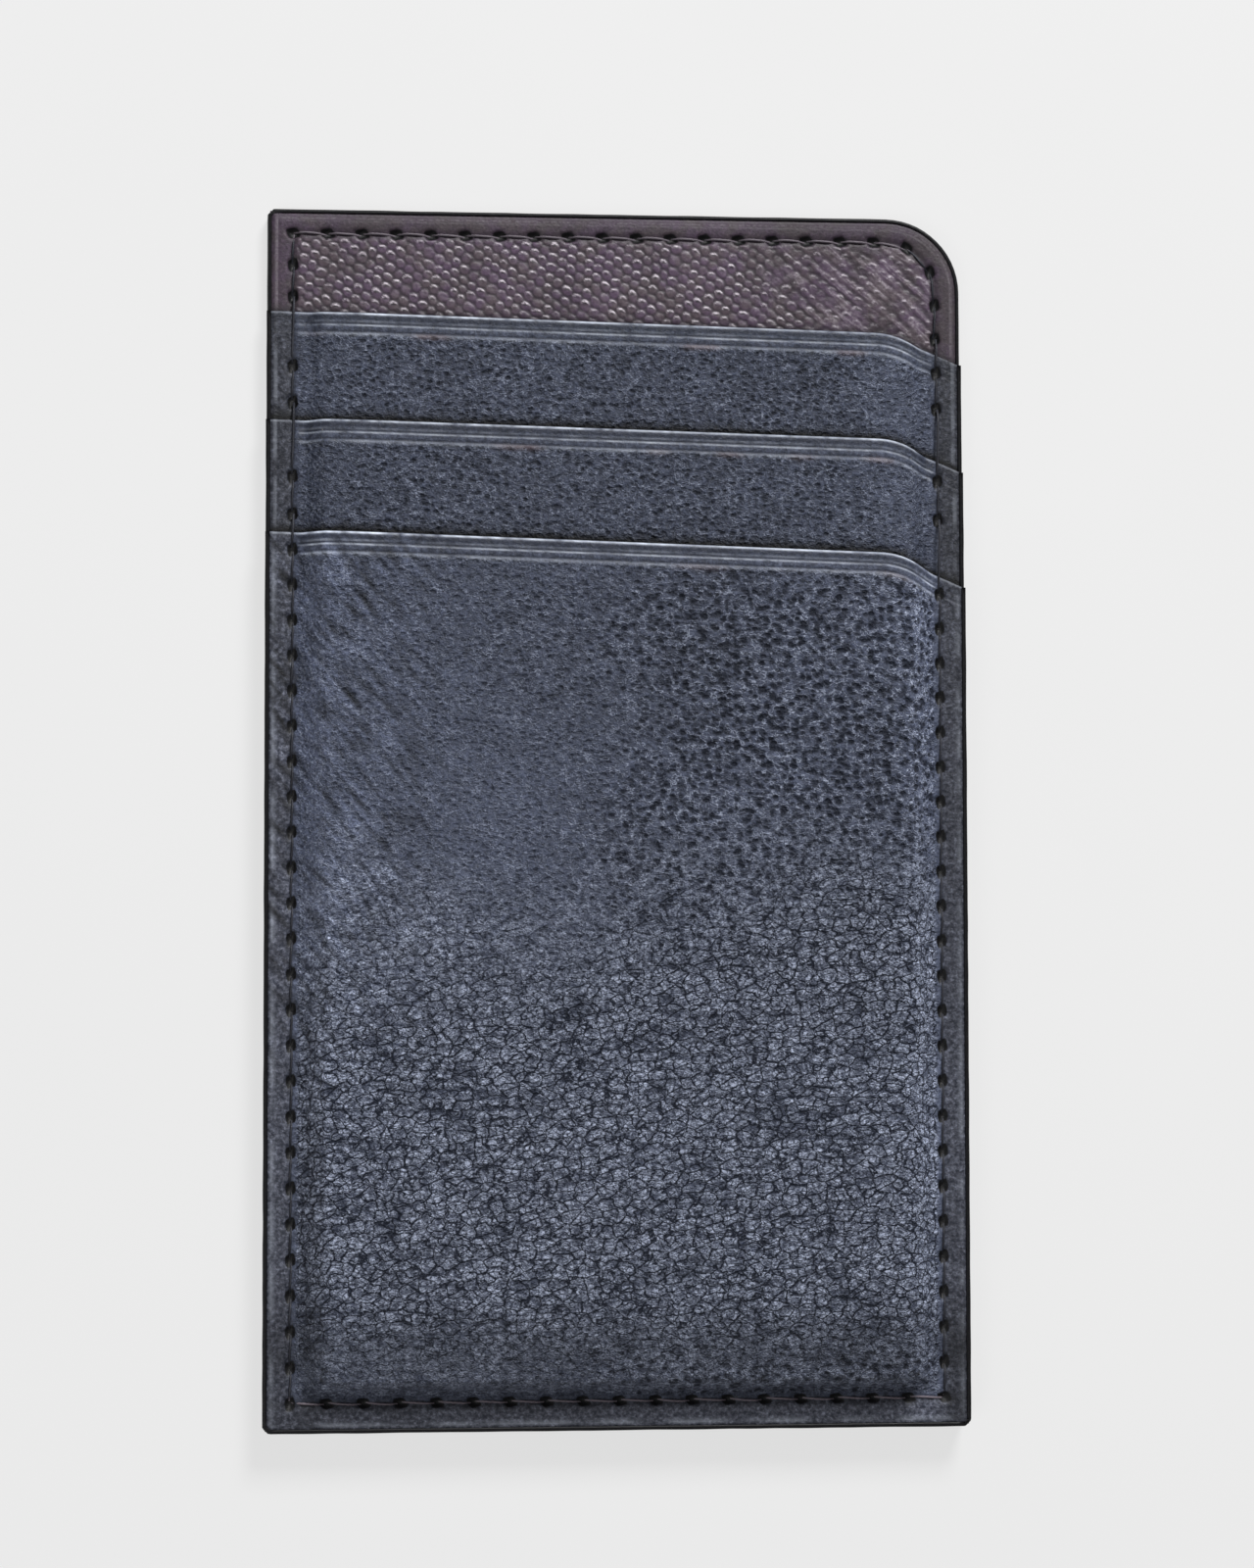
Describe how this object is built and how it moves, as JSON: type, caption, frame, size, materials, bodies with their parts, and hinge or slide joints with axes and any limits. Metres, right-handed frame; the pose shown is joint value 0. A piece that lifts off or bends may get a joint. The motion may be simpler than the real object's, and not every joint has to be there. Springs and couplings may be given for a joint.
{
  "type": "card holder",
  "caption": "Slim upright leather card holder with stacked slots that stay open for bank cards, a seam all round, a rounded corner and a finger dip at the right of each mouth",
  "frame": {"origin": "centre of the wallet's width and height, on the flat back face that it lies on", "axes": "+X to the right seen from the front, +Y towards the edge that the cards go in from, +Z out of the front"},
  "size_m": [0.065, 0.1124, 0.0062],
  "materials": {
    "navy_leather": "pebbled, satin",
    "plum_leather": "cross-hatch embossed, satin",
    "bonded_board": "bonded leather fibre, matte",
    "lining_fabric": "fine twill",
    "mouth_tape": "thin woven tape",
    "thread": "waxed, twisted",
    "edge_paint": "black edge paint, slightly domed"
  },
  "bodies": {
    "root": {"back_panel": "navy_leather", "core_board": "bonded_board", "facing_panel": "plum_leather", "slot_1_panel": "navy_leather", "slot_2_panel": "navy_leather", "front_panel": "navy_leather", "slot_1_lining": "lining_fabric", "slot_2_lining": "lining_fabric", "front_lining": "lining_fabric", "slot_1_mouth_tape": "mouth_tape", "slot_2_mouth_tape": "mouth_tape", "front_mouth_tape": "mouth_tape", "slot_1_base_seam": "thread", "slot_2_base_seam": "thread", "needle_thread": "thread", "bobbin_thread": "thread", "edge_coat_back": "edge_paint", "edge_coat_slot_1": "edge_paint", "edge_coat_slot_2": "edge_paint", "edge_coat_front": "edge_paint"}
  },
  "joints": []
}
